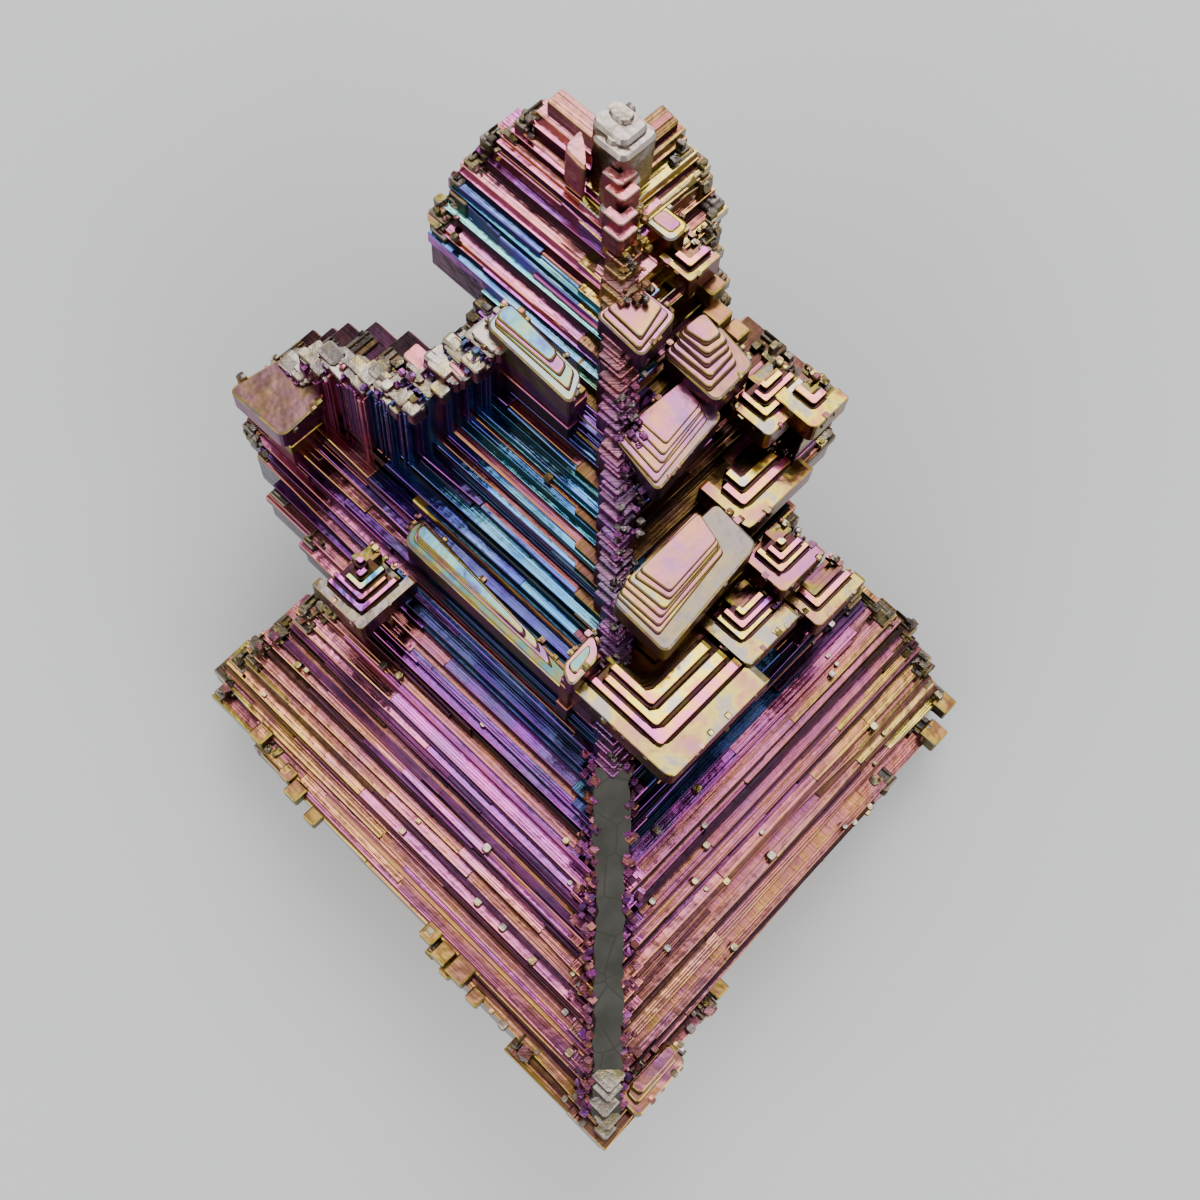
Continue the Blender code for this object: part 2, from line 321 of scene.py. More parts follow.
FILM_COLOURS = (
    (0.00, (0.46, 0.39, 0.36)), (0.06, (0.55, 0.45, 0.29)), (0.12, (0.88, 0.68, 0.06)),
    (0.19, (0.82, 0.42, 0.12)), (0.26, (0.80, 0.27, 0.18)), (0.34, (0.76, 0.19, 0.33)),
    (0.42, (0.62, 0.10, 0.50)), (0.50, (0.30, 0.06, 0.44)), (0.58, (0.08, 0.05, 0.30)),
    (0.67, (0.05, 0.14, 0.48)), (0.76, (0.10, 0.46, 0.62)), (0.84, (0.20, 0.56, 0.36)),
    (0.92, (0.60, 0.58, 0.10)), (1.00, (0.78, 0.28, 0.40)),
)
BARE_METAL = (0.30, 0.235, 0.22, 1)
# The near-black that faces are blended towards: painted shade in grooves, corners and recesses, with
# some tarnish.
SHADE_AND_TARNISH = (0.014, 0.010, 0.008, 1)


class Reading:
    """A number that flows through a finish, which Python's operators work on."""

    def __init__(self, finish, socket):
        self.finish = finish
        self.socket = socket

    def math(self, operation, *others):
        inputs = dict(enumerate((self, *others)))
        return self.finish.node("ShaderNodeMath", {"operation": operation}, inputs)

    def __add__(self, other):
        return self.math("ADD", other)

    def __sub__(self, other):
        return self.math("SUBTRACT", other)

    def __mul__(self, other):
        return self.math("MULTIPLY", other)

    def __rsub__(self, other):
        return (self * -1.0) + other

    __radd__ = __add__
    __rmul__ = __mul__

    def within(self, least, most):
        return self.math("MAXIMUM", least).math("MINIMUM", most)

    def equals(self, number):
        return self.math("COMPARE", number, 0.1)


class Finish:
    """A material, built from nodes one at a time."""

    def __init__(self, name):
        self.material = bpy.data.materials.new(name)
        self.material.use_nodes = True
        self.tree = self.material.node_tree
        self.shader = self.tree.nodes["Principled BSDF"]

    def node(self, kind, settings=None, inputs=None, output=0):
        made = self.tree.nodes.new(kind)
        for key, value in (settings or {}).items():
            if key == "stops":
                self.set_stops(made.color_ramp, value)
            else:
                setattr(made, key, value)
        for key, value in (inputs or {}).items():
            self.feed(made.inputs[key], value)
        return Reading(self, made.outputs[output])

    def set_stops(self, ramp, stops):
        while len(ramp.elements) < len(stops):
            ramp.elements.new(1.0)
        for element, (place, colour) in zip(ramp.elements, stops):
            element.position = place
            element.color = (*colour, 1)

    def feed(self, socket, value):
        if isinstance(value, Reading):
            self.tree.links.new(value.socket, socket)
        else:
            socket.default_value = value

    def surface(self, **values):
        for name, value in values.items():
            self.feed(self.shader.inputs[name.replace("_", " ")], value)
        return self.material

    def noise(self, place, scale, detail=3.0):
        return self.node("ShaderNodeTexNoise", None, {"Vector": place, "Scale": scale, "Detail": detail})

    def along(self, axis, place):
        """The distance in millimetres along one crystal axis."""
        dot = {"operation": "DOT_PRODUCT"}
        return self.node("ShaderNodeVectorMath", dot, {0: place, 1: axis / MM}, output="Value")

    def blend(self, factor, one, other):
        mix = {"data_type": "RGBA"}
        return self.node("ShaderNodeMix", mix, {"Factor": factor, 6: one, 7: other}, output=2)

    def bump(self, height, strength, distance):
        inputs = {"Height": height, "Strength": strength, "Distance": distance}
        return self.node("ShaderNodeBump", None, inputs, output="Normal")


def oxide_film(name, waver=0.05, roughness=0.22, relief=0.5, grooves=0.4, patch=1.0):
    """Oxidised bismuth: film colours that waver along the growth lines, over fine ridges, with painted
    shade that darkens each face by its shade and along fine grooves.
    """
    finish = Finish(name)
    place = finish.node("ShaderNodeTexCoord", output="Object")
    film, shade, bare, run = (
        finish.node("ShaderNodeAttribute", {"attribute_name": key}, output="Fac") for key in QUALITIES
    )
    flat = run.equals(LEVEL)
    lines = [1 - run.equals(0) - flat, 1 - run.equals(1) - flat, 1 - run.equals(2)]
    spans = [finish.along(axis, place) for axis in (LEFT, RIGHT, GROWTH)]
    across = spans[0] * lines[0] + spans[1] * lines[1] + spans[2] * lines[2]
    across = across * (1 - run.equals(EVEN))
    stretched = {axis: spans[axis] * (lines[axis] * 0.96 + 0.04) for axis in range(3)}
    drawn_out = finish.node("ShaderNodeCombineXYZ", None, stretched)
    evenly = finish.node("ShaderNodeCombineXYZ", None, dict(enumerate(spans)))
    cloud = finish.noise(drawn_out, 0.9 * patch, 4.0) - 0.5
    streak = finish.noise(drawn_out, 3.4) - 0.5
    blotch = finish.noise(evenly, 0.42 * patch, 3.0) - 0.5
    one_way = {"noise_dimensions": "1D"}
    line = finish.node("ShaderNodeTexNoise", one_way, {"W": across, "Scale": 6.5, "Detail": 3.0})
    varied = film + cloud * (waver * 2.6) + streak * (waver * grooves * 2.4) + blotch * (waver * 3.4)
    skin = {"stops": FILM_COLOURS}
    colour = finish.node("ShaderNodeValToRGB", skin, {"Fac": varied}, output="Color")
    bareness = (bare + blotch * 0.9 + streak * (grooves * 0.8)).within(0.0, 0.85)
    colour = finish.blend(bareness, colour, BARE_METAL)
    # Painted shade: dark fine lines along the grooves, and each face's shade, blend the colour towards
    # near-black.
    unshaded = (line * 3.6 - 1.3).within(0.0, 1.0) * grooves + (1.0 - grooves)
    unshaded_share = (shade * unshaded + streak * shade * (0.5 * grooves)).within(0.0, 1.0)
    colour = finish.blend(unshaded_share, SHADE_AND_TARNISH, colour)
    fine = finish.noise(drawn_out, 9.0)
    ripple = finish.noise(evenly, 0.8, 2.0)
    height = line * (1.1 * grooves) + fine * (0.5 * grooves) + ripple * 2.0 + fine * 0.06
    normal = finish.bump(height, relief, 0.0001)
    rough = (roughness + streak * (0.4 * grooves) + (1 - shade) * 0.15).within(0.08, 0.9)
    return finish.surface(Base_Color=colour, Metallic=1.0, Roughness=rough, Normal=normal)


# ------------------------------------------------
# The terraces: V-shaped steps that climb the spine from the tip, the largest part of the crystal.
# Each level is a stack of long bars, grown a little unevenly, with finer steps in the corners.

STEPS = (0.7, 1.2, 0.6, 0.9, 1.3, 0.8, 0.6, 1.1)
CROWN = 38.0
BAR_DEPTH = 3.2
ARM_THICKNESS = 3.6
EDGE_JITTER = 0.12
REACH_JITTER = 0.55
LEFT_REACH = (
    (0.0, 9.0), (0.9, 21.0), (1.5, 33.0), (2.2, 41.0), (3.0, 43.0), (7.0, 41.0), (12.4, 37.8),
    (12.9, 44.5), (14.8, 50.0), (16.2, 52.2), (20.0, 49.6), (21.6, 47.0), (22.6, 42.5),
    (27.6, 39.4), (28.4, 45.8), (31.4, 46.4), (34.8, 44.8), (36.7, 42.6), (38.7, 40.0),
)
RIGHT_REACH = (
    (0.0, 8.0), (0.9, 13.5), (1.7, 31.5), (2.4, 38.4), (3.2, 40.2), (8.6, 40.4), (11.4, 38.4),
    (13.5, 35.6), (19.2, 35.8), (19.8, 41.8), (21.8, 43.2), (25.4, 40.4), (26.6, 37.0),
    (28.6, 39.4), (31.5, 41.0), (32.8, 42.0), (36.0, 41.2), (38.7, 40.4),
)
LEFT_FILM = (
    (0.0, 0.24), (1.5, 0.29), (3.0, 0.32), (5.5, 0.36), (8.0, 0.42), (10.5, 0.47), (13.0, 0.55),
    (15.0, 0.62), (17.5, 0.68), (21.0, 0.71), (24.0, 0.70), (26.5, 0.66), (28.0, 0.46),
    (30.0, 0.42), (32.0, 0.38), (35.0, 0.32), (38.0, 0.24),
)
RIGHT_FILM = (
    (0.0, 0.24), (2.0, 0.30), (4.0, 0.31), (6.0, 0.33), (8.5, 0.37), (10.5, 0.44), (12.0, 0.58),
    (13.5, 0.76), (15.0, 0.62), (18.0, 0.28), (26.0, 0.20), (31.0, 0.17), (38.0, 0.18),
)
# How light each arm's terraces are painted by height. On the right arm the low values from 15 to 29 are
# painted shade in the recess under the hopper plates; values over one brighten the top lobes as painted
# light.
LEFT_TONE = (
    (0.0, 1.0), (8.0, 1.1), (11.0, 0.95), (13.5, 0.75), (16.0, 0.9), (19.0, 1.15), (23.0, 1.15),
    (26.5, 1.1), (29.0, 1.15), (32.0, 1.3), (38.0, 1.3),
)
RIGHT_TONE = (
    (0.0, 1.1), (5.0, 0.93), (8.0, 0.72), (12.0, 0.72), (15.0, 0.5), (17.0, 0.2), (29.0, 0.2),
    (31.0, 1.3), (38.0, 1.4),
)
RIM_GLOOM = 3.2
WALL_FROM = (19.0, 28.3)
WALL_ALONG = 39.6
WALL_SHADOW = 0.05
LESS_SHADE_FROM = 23  # the sides and the fine steps get less painted shade above this height
TOP_LOBE = 28  # the top lobe starts at this height
GOLD_FROM = 22.0
GOLD_OVER = 18.0
THINNEST = 0.7


def read_off(profile, height):
    """A value at one growth height, on straight lines between the listed ones."""
    for (h0, v0), (h1, v1) in zip(profile, profile[1:]):
        if height <= h1:
            return v0 + (v1 - v0) * (height - h0) / (h1 - h0)
    return profile[-1][1]


def terrace_levels():
    """Height, outer edge and the two reaches of each terrace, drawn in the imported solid's order."""
    draw = random.Random(11).uniform
    height = 0.0
    level = 0
    while height < CROWN:
        edge = height + draw(-EDGE_JITTER, EDGE_JITTER)
        draw(-0.2, 0.2)  # the solid's own underside, which no tread needs
        left = read_off(LEFT_REACH, height) + draw(-REACH_JITTER, REACH_JITTER)
        right = read_off(RIGHT_REACH, height) + draw(-REACH_JITTER, REACH_JITTER)
        yield height, edge, left, right
        height += STEPS[level % len(STEPS)]
        level += 1


def between(least, most):
    return chance.uniform(least, most)


def three(least, most):
    """A random amount for each of the three axes."""
    return np.array([between(least, most) for _ in range(3)])


def stretches(start, end, shortest, longest):
    """Cuts a length into uneven stretches."""
    while start < end - 0.5:
        stop = min(start + between(shortest, longest), end)
        if end - stop < shortest * 0.5:
            stop = end
        yield start, stop
        start = stop


def on_arm(arm, along, across, up):
    """A place in crystal millimetres, given along one arm and across it."""
    return np.array((across, along, up) if arm else (along, across, up))


def arm_bar(arm, span, rise, heights, **look):
    """A bar on one arm: span runs along the arm, rise is across it."""
    low, high = (on_arm(arm, *corner) for corner in zip(span, rise, heights))
    grow(BAR, low, high, run=arm, **look)


def terrace_film(side, height, along):
    """The film on one arm: by height, thinner and golden towards the arm's end."""
    base = read_off((LEFT_FILM, RIGHT_FILM)[side], height)
    out = min(max((along - height * 0.4 - GOLD_FROM) / GOLD_OVER, 0.0), 1.0)
    lowest = 0.13 if height < 12 else 0.26
    return base - out * max(base - lowest, 0) * 0.95


def terrace_tone(side, height, along, end):
    """How light a terrace is painted there: painted shade where it runs in under the rim, and behind the
    wall.
    """
    tone = read_off((LEFT_TONE, RIGHT_TONE)[side], height)
    from_end = end - along
    if not side and WALL_FROM[0] < height < WALL_FROM[1] and along > WALL_ALONG:
        tone *= WALL_SHADOW
    if height > 4.0 and from_end < RIM_GLOOM:
        tone *= 0.12 + 0.5 * max(from_end, 0) / RIM_GLOOM
    return tone


def grow_tread(side, level, back, tint, tone):
    """The top of one terrace, in stretches whose front edges don't quite line up."""
    height, edge = level[0], level[1]
    end = level[2 + side]
    drift = between(-0.1, 0.1)
    behind_wall = not side and WALL_FROM[0] < height < WALL_FROM[1]
    # The fronts of the bars are painted dark as painted shade, less so on the upper terraces.
    side_shift, side_share = (-0.24, 1.0)
    if height <= TOP_LOBE:
        side_shift, side_share = (0.05, 0.4 if height > LESS_SHADE_FROM else 0.08)
    pieces = list(stretches(edge, min(end, WALL_ALONG) if behind_wall else end, 5.0, 24.0))
    if behind_wall and end > WALL_ALONG:
        pieces.append((WALL_ALONG, end))
    for start, stop in pieces:
        middle = (start + stop) / 2
        ahead = drift
        drift = between(-0.12, 0.18)
        if chance.random() < 0.12:
            drift = 0.45
        film = terrace_film(side, height, middle) + tint + between(-0.03, 0.03)
        unshaded = tone * terrace_tone(side, height, middle, end)
        arm_bar(
            side, (start - 0.02, stop), (edge, back),
            (height - 0.9, height + between(-0.04, 0.03)),
            film=film, shade=unshaded * between(0.85, 1.1), front=(ahead, drift),
            drop=between(-0.06, 0.26), wear=between(0.03, 0.07),
            bare=0.3 if height > TOP_LOBE or (side and height < 6) else 0.12, edge=(film - 0.08, unshaded),
            side=(film + side_shift, unshaded * side_share),
        )


def grow_fine_steps(side, below, level, tint, tone):
    """The fine steps that fill the corner between two terraces, painted dark as painted shade in the
    corner.
    """
    height, edge = level[0], level[1]
    gap = height - below[0]
    end = min(level[2 + side], below[2 + side])
    count = chance.choice((0, 1, 1, 2, 3)) if gap < 1.0 else chance.choice((1, 2, 3, 3, 4))
    if height > TOP_LOBE:
        count = min(count, 1)
    reach = gap * between(0.3, 0.6)
    for step in range(1, count + 1):
        share = step / (count + 1)
        depth = reach * (1 - share) + 0.08
        bright = chance.choice((0.5, 0.8, 1.0) if height > LESS_SHADE_FROM else (0.08, 0.2, 0.4, 0.9))
        bright *= 0.55 if side and height < TOP_LOBE else 1.0
        bright += 0.3 * (height > TOP_LOBE)
        for start, stop in stretches(edge + 0.1, end - 0.1, 5.0, 20.0):
            if chance.random() < 0.15:
                continue
            middle = (start + stop) / 2
            arm_bar(
                side, (start, stop), (edge - depth, edge + 0.4),
                (below[0] - 0.4, below[0] + gap * share + between(-0.04, 0.04)),
                film=terrace_film(side, height, middle) + tint + between(0.0, 0.1),
                shade=tone * bright * terrace_tone(side, height, middle, end),
                front=(between(-0.06, 0.1), between(-0.06, 0.14)), wear=0.02,
            )


terrace_finish = oxide_film("terrace_oxide", waver=0.06, roughness=0.1, relief=0.35, grooves=0.45)
for side, name in enumerate(("left_terraces", "right_terraces")):
    chance = random.Random(31 + side)
    below = None
    for level_now in terrace_levels():
        height, edge = level_now[0], level_now[1]
        end = level_now[2 + side]
        if CROWN - edge < THINNEST:
            continue
        back = min(edge + ARM_THICKNESS, CROWN)
        tone = chance.choice((0.7, 0.85, 1.0, 1.0))
        tint = between(-0.04, 0.03)
        if height > TOP_LOBE and not side:
            tint += chance.choice((0.0, 0.04, 0.1, 0.34) if height < 31.5 else (0.0, 0.03, 0.08))
        arm_bar(
            side, (edge + 0.1, end - 0.1), (edge + 0.3, back),
            (height - BAR_DEPTH, height - 0.1), film=0.3, shade=0.5,
            side=(read_off((LEFT_FILM, RIGHT_FILM)[side], height), 0.2),
        )
        grow_tread(side, level_now, back - 0.1, tint, tone)
        if below and height < CROWN - 1.2:
            grow_fine_steps(side, below, level_now, tint, tone)
        below = level_now
    join(name, terrace_finish)


# ------------------------------------------------
# The droplets: small rounded crystals that froze on the terraces as the melt was poured away.

DROPLETS = 70
DROPLET_SPREAD = 11
NO_DROPLETS_FROM = 15  # the right arm's terraces are bare of them above this height

chance = random.Random(5)
levels = list(terrace_levels())
for _ in range(DROPLETS):
    index = int(abs(chance.gauss(0, DROPLET_SPREAD))) % (len(levels) - 4)
    height, edge, *ends = levels[index]
    side = chance.randrange(2)
    along = edge + 1.5 + (ends[side] - edge - 4.0) * chance.random()
    breadth = between(0.28, 0.62)
    place = on_arm(side, along, edge + between(0.1, 0.6), height)
    if side and height > NO_DROPLETS_FROM:
        continue
    low = place - (breadth / 2, breadth / 2, 0.1)
    look = {"film": between(0.0, 0.16), "bare": 0.5, "side": (0.1, 0.35), "edge": (0.05, 0.3)}
    grow(SLAB, low, low + breadth, run=0, wear=breadth * 0.28, corner=breadth * 0.3, **look)
droplet_finish = oxide_film("droplet_oxide", waver=0.08, grooves=0.1)
join("droplets", droplet_finish)


# ------------------------------------------------
# The mass behind the terraces: thick blocks that step outwards as they climb, and end below in the
# flat facet where the crystal was broken from the melt.

CORE = (
    (-3.4, 27.0), (-1.6, 30.5), (0.6, 33.0), (3.0, 34.6), (6.0, 35.8), (10.0, 36.4),
    (14.0, 36.8), (18.0, 37.2), (22.0, 37.5), (26.0, 37.9), (30.0, 38.2), (33.0, 38.4),
)
CORE_DEPTH = 4.3

chance = random.Random(23)
for index, (height, far) in enumerate(CORE):
    top = height + CORE_DEPTH
    near = max(top, 2.0) + 0.3
    film = 0.22 + 0.05 * (index % 5)
    look = {"film": film, "shade": 0.8, "wear": 0.1}
    grow(BAR, (near, near, height), (far, far - 0.4, top), run=0, side=(film, 0.7), **look)
    for step in range(3):
        inset = 0.9 + 1.1 * step + between(-0.2, 0.2)
        sink = 0.25 * (step + 1)
        if index == 0 or far - near < 2 * inset + 1:
            continue
        grow(
            BAR, (near + inset, near + inset, height - sink),
            (far - inset, far - inset, height + 1), film=film + 0.05 * step, shade=0.8, wear=0.06,
            side=(film, 0.3),
        )
core_finish = oxide_film("core_oxide", waver=0.09, roughness=0.3)
join("core_blocks", core_finish)


# ------------------------------------------------
# The rims: ragged walls at the ends of the arms, where growth broke into crumbs.

RIM_STOPS_BELOW = 2.5
RIM_CRUMBS = 14

rim_finish = oxide_film("rim_oxide", waver=0.08, roughness=0.24, relief=0.9)
chance = random.Random(17)
for height, _, *ends in terrace_levels():
    if height > CROWN - RIM_STOPS_BELOW:
        break
    for side, end in enumerate(ends):
        width = between(0.7, 1.5)
        rise = between(0.1, 1.0)
        back = min(height + between(1.3, 2.4), CROWN)
        front = height + between(0.04, 0.3)
        for layer in range(3):
            inner = end - 0.1 - width * (1.0 - 0.3 * layer) * between(0.8, 1.2)
            arm_bar(
                side, (inner, end - 0.1 - 0.15 * layer),
                (front + 0.25 * layer, back), (height - 1.9, height + rise * (layer + 1) / 3),
                film=chance.choice((0.02, 0.06, 0.2)), bare=0.4, wear=0.08, side=(0.08, 0.2),
                shade=between(0.15, 0.55) + 0.3 * (height > TOP_LOBE), edge=(0.05, 0.6),
            )
        for _ in range(RIM_CRUMBS):
            size = between(0.15, 0.6)
            place = on_arm(
                side, end - between(0.4, width + 0.6), between(front, back),
                height + between(-1.0, rise),
            )
            low = place - size / 2
            high = low + size * three(0.6, 1.5)
            grow(
                chance.choice(CRUMBS + [BAR] * 3), low, high,
                film=chance.choice((0.02, 0.06, 0.08, 0.1, 0.3)), shade=between(0.15, 1.0),
                bare=0.35, run=2, side=(0.04, between(0.1, 0.6)),
                turn=three(-12, 12),
            )
join("arm_rims", rim_finish)


# ------------------------------------------------
# The ridge bar: a blunt grey strip along the lower spine, where the last melt ran off bare, with
# crumbs of crystal along both its edges and bare ledges at the tip.

RIDGE_WIDTH = 2.7
RIDGE_DEPTH = 3.0
RIDGE_FROM = 1.6
RIDGE_TO = 15.5
RIDGE_LIFT = 0.62
RIDGE_CUTS = 44
RIDGE_CRUMBS = 230

OUT_OF_SPINE = np.array((-1.0, -1.0, 2.0)) / math.sqrt(6)
ACROSS_SPINE = np.array((-1.0, 1.0, 0.0)) / math.sqrt(2)


def on_spine(along, across, out):
    """A place in crystal millimetres, along, across and out of the spine."""
    return along * np.ones(3) + across * ACROSS_SPINE + out * OUT_OF_SPINE


chance = random.Random(41)
select_only()
bpy.ops.mesh.primitive_cube_add(size=1)
ridge = bpy.context.object
ridge.name = "ridge_bar"
choose_edges(lambda one, other: abs(one.x - other.x) > 0.5)
bpy.ops.mesh.subdivide(number_cuts=RIDGE_CUTS)
enter("OBJECT")
for vertex in ridge.data.vertices:
    share = vertex.co.x + 0.5
    along = RIDGE_FROM + share * (RIDGE_TO - RIDGE_FROM)
    narrow = 0.72 + 0.2 * math.sin(share * 9.0) * (share > 0.6)
    ragged = between(-0.16, 0.16) + chance.choice((0, 0, 0, -0.25))
    across = vertex.co.y * (RIDGE_WIDTH * narrow + ragged)
    sag = 0.05 * math.sin(share * 30.0)
    out = RIDGE_LIFT - RIDGE_DEPTH / 2 + vertex.co.z * RIDGE_DEPTH + sag
    vertex.co = (Vector(on_spine(along, across, out) @ CRYSTAL_AXES) + TIP) * MM
enter("EDIT")
bpy.ops.mesh.select_all(action="SELECT")
bpy.ops.mesh.normals_make_consistent(inside=False)
enter("OBJECT")

melt_skin = Finish("melt_skin")
place = melt_skin.node("ShaderNodeTexCoord", output="Object")
mottle = melt_skin.noise(place, 520.0, 5.0)
to_edge = {"feature": "DISTANCE_TO_EDGE"}
crack = melt_skin.node("ShaderNodeTexVoronoi", to_edge, {"Vector": place, "Scale": 330.0})
crack = (crack * 40.0).within(0.0, 1.0)
greys = {"stops": ((0.35, (0.10, 0.094, 0.08)), (0.7, (0.145, 0.136, 0.118)))}
grey = melt_skin.node("ShaderNodeValToRGB", greys, {"Fac": mottle}, output="Color")
grey = melt_skin.blend(crack, (0.09, 0.084, 0.072, 1), grey)
pitted = melt_skin.bump(mottle * 0.6 + crack * 0.1, 0.5, 0.00006)
melt_skin.surface(Base_Color=grey, Metallic=0.85, Roughness=mottle * 0.25 + 0.28, Normal=pitted)
ridge.data.materials.append(melt_skin.material)
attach(ridge, "root")
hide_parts("bismuth_crystal")

for _ in range(RIDGE_CRUMBS):
    along = between(RIDGE_FROM, RIDGE_TO + 0.5)
    edge_side = -1 if chance.random() < 0.68 else 1
    size = between(0.18, 0.55)
    out_by = abs(chance.gauss(0, 0.45))
    across = edge_side * (RIDGE_WIDTH * 0.36 + out_by)
    place = on_spine(along, across, RIDGE_LIFT - 0.12 - out_by * 0.75)
    grow(
        chance.choice(CRUMBS + [BAR] * 4), place - size / 2, place + size / 2,
        film=between(0.26, 0.5), shade=between(0.15, 0.8), bare=between(0, 0.4),
        run=2, turn=three(-8, 8), side=(0.36, 0.3),
    )
crumb_finish = oxide_film("crumb_oxide", waver=0.07, roughness=0.26)
join("ridge_crumbs", crumb_finish)

for step in range(6):
    along = RIDGE_FROM + 2.0 - step * between(0.45, 0.6)
    breadth = 1.2 - 0.1 * step + between(-0.15, 0.1)
    place = on_spine(along, between(-0.15, 0.15), RIDGE_LIFT - 0.1)
    grow(
        BAR, place - (breadth, breadth, 1.6),
        place + (breadth * 0.5, breadth * 0.5, 0.05 * (step % 3)), film=0.05,
        shade=between(0.7, 1.0), bare=0.3, run=EVEN, wear=0.12, side=(0.02, 0.25),
    )
join("tip_ledges", rim_finish)


# ------------------------------------------------
# The rib: the upper spine, a narrow striated strip between the left terraces and the hopper
# plates, with crumbs on it, that ends in a blunt silvery cap.

RIB_FROM = RIDGE_TO - 0.3
RIB_TO = 35.4
RIB_CRUMBS = 220
RIB_FILM = ((15.0, 0.45), (24.0, 0.45), (28.0, 0.42), (30.0, 0.34), (33.0, 0.2), (38.0, 0.16))

height = RIB_FROM
while height < RIB_TO:
    film = read_off(RIB_FILM, height) + between(-0.06, 0.06)
    near_left = height - between(0.35, 0.6)
    near_right = height - between(0.35, 0.6)
    wide = between(1.3, 1.8)
    grow(
        BAR, (near_left, near_right, height - 2.6),
        (near_left + wide, near_right + wide, height + between(0.7, 0.95)), film=film,
        shade=between(0.6, 1.0), bare=0.6, run=2, wear=0.07,
        side=(film, between(0.5, 1.0)), edge=(film, 0.9),
    )
    height += between(0.15, 0.45)
for _ in range(RIB_CRUMBS):
    along = between(RIB_FROM, RIB_TO)
    size = between(0.15, 0.42)
    place = on_spine(along, between(-0.2, 1.5), 0.75 + between(-0.1, 0.3))
    film = chance.choice((0.0, read_off(RIB_FILM, along), read_off(RIB_FILM, along)))
    grow(
        chance.choice(CRUMBS), place - size / 2, place + size / 2, film=film,
        shade=between(0.6, 1.0), bare=0.3, run=2, turn=three(-15, 15), side=(film, 0.3),
    )
rib_finish = oxide_film("rib_oxide", waver=0.06, roughness=0.28, grooves=0.6)
join("spine_rib", rib_finish)

CAP = (
    ((35.6, 35.4, 33.5), (38.3, 38.5, 38.6)), ((36.1, 35.9, 35.5), (38.8, 38.2, 39.1)),
    ((36.5, 35.6, 35.5), (37.6, 37.2, 38.9)), ((36.9, 36.8, 36.5), (38.5, 38.0, 39.35)),
    ((35.0, 34.8, 33.4), (37.0, 36.8, 36.9)), ((34.3, 34.0, 32.6), (36.2, 36.0, 35.6)),
    ((33.6, 33.3, 32.0), (35.2, 35.0, 34.6)),
)
CAP_FLAP = ((37.2, 34.2), (38.6, 35.4), (39.6, 36.2), (39.4, 34.4))
CAP_CRUMBS = 26

for low, high in CAP:
    grow(
        SLAB, low, high, film=0.0, bare=0.3, run=EVEN, wear=0.32, corner=0.55, side=(0.02, 0.7),
        edge=(0.0, 1.0),
    )
down = 0.0
while down < 3.0:
    corner = np.array((36.2 - down + between(-0.2, 0.1), 36.0 - down + between(-0.2, 0.1)))
    top = 38.3 - down
    grow_ledge(
        corner - 0.25, corner + 1.2, (0.6, 0.6), top - 1.5, top + between(0.0, 0.2),
        film=chance.choice((0.0, 0.02, 0.3)), bare=0.2, edge=(0.04, 1.0), side=(0.3, 0.5), wear=0.12,
    )
    down += between(0.35, 1.0)
grow_plate(
    CAP_FLAP, 34.5, 37.4, film=0.3, bare=0.45, wear=0.25, corner=0.5, side=(0.3, 0.6)
)
for _ in range(CAP_CRUMBS):
    size = between(0.3, 0.7)
    spot = [between(36.4, 38.8), between(36.4, 38.6), 38.4 + between(-1.6, 0.1)]
    place = np.array(spot)
    grow(
        chance.choice(CRUMBS), place - size / 2, place + size / 2, film=0.0, bare=0.2,
        shade=between(0.6, 1.0), run=2, turn=three(-20, 20), side=(0.02, 0.7),
    )
cap_finish = oxide_film("cap_oxide", waver=0.05, roughness=0.22, relief=0.9, grooves=0.15)
join("silver_cap", cap_finish)


# ------------------------------------------------
# The hoppers: blocks that stand out over the terraces, mostly on the right of the spine. Each has
# a broad outer ledge, and finer ledges that climb inwards round a pit painted dark as painted shade.

PLATE_THICKNESS = 1.7
LEDGE_RISE = 0.42
PIT_DEPTH = 1.3
GOLD = 0.12

# near corner, far corner, height, width of the outer ledge, count and width of the inner ledges,
# film and bareness of the outer ledge, films of the inner ones
HOPPERS = {
    "great_hopper": (
        (11.5, 15.9), (19.9, 24.9), 20.6, (1.7, 0.9), 3, (1.0, 0.62), (0.13, 0.3), (0.30, GOLD, 0.2)
    ),
    "stair_block": (
        (12.9, 24.4), (17.3, 29.3), 21.0, (1.3, 0.8), 3, (0.5, 0.5), (0.08, 0.35), (GOLD, 0.3, GOLD)
    ),
    "stair_upper": (
        (14.3, 28.8), (18.1, 32.8), 23.0, (0.9, 0.7), 3, (0.5, 0.5), (0.27, 0.25), (GOLD, 0.3, 0.2)
    ),
    "end_block": ((11.7, 30.1), (14.7, 34.8), 19.7, (0.9, 0.8), 1, (0.6, 0.6), (0.14, 0.3), (0.3,)),
    "gold_ledge": (
        (18.5, 30.2), (22.7, 36.4), 23.6, (1.2, 0.8), 2, (0.8, 0.7), (0.17, 0.2), (0.3, GOLD)
    ),
    "gold_hopper": (
        (21.1, 34.2), (25.1, 39.1), 27.0, (0.9, 0.7), 3, (0.55, 0.52), (0.14, 0.0), (GOLD, 0.3, 0.14)
    ),
    "gold_end": ((19.3, 36.3), (22.9, 39.6), 27.6, (1.0, 1.0), 1, (0.7, 0.7), (0.14, 0.0), (0.3,)),
    "small_hopper": (
        (29.8, 35.6), (32.4, 38.4), 32.8, (0.45, 0.45), 1, (0.6, 0.6), (0.13, 0.2), (0.3,)
    ),
    "left_hopper": (
        (32.7, 10.2), (37.3, 15.1), 17.2, (0.7, 0.7), 5, (0.46, 0.46), (0.04, 0.7), (0.42, 0.34, 0.9)
    ),
}


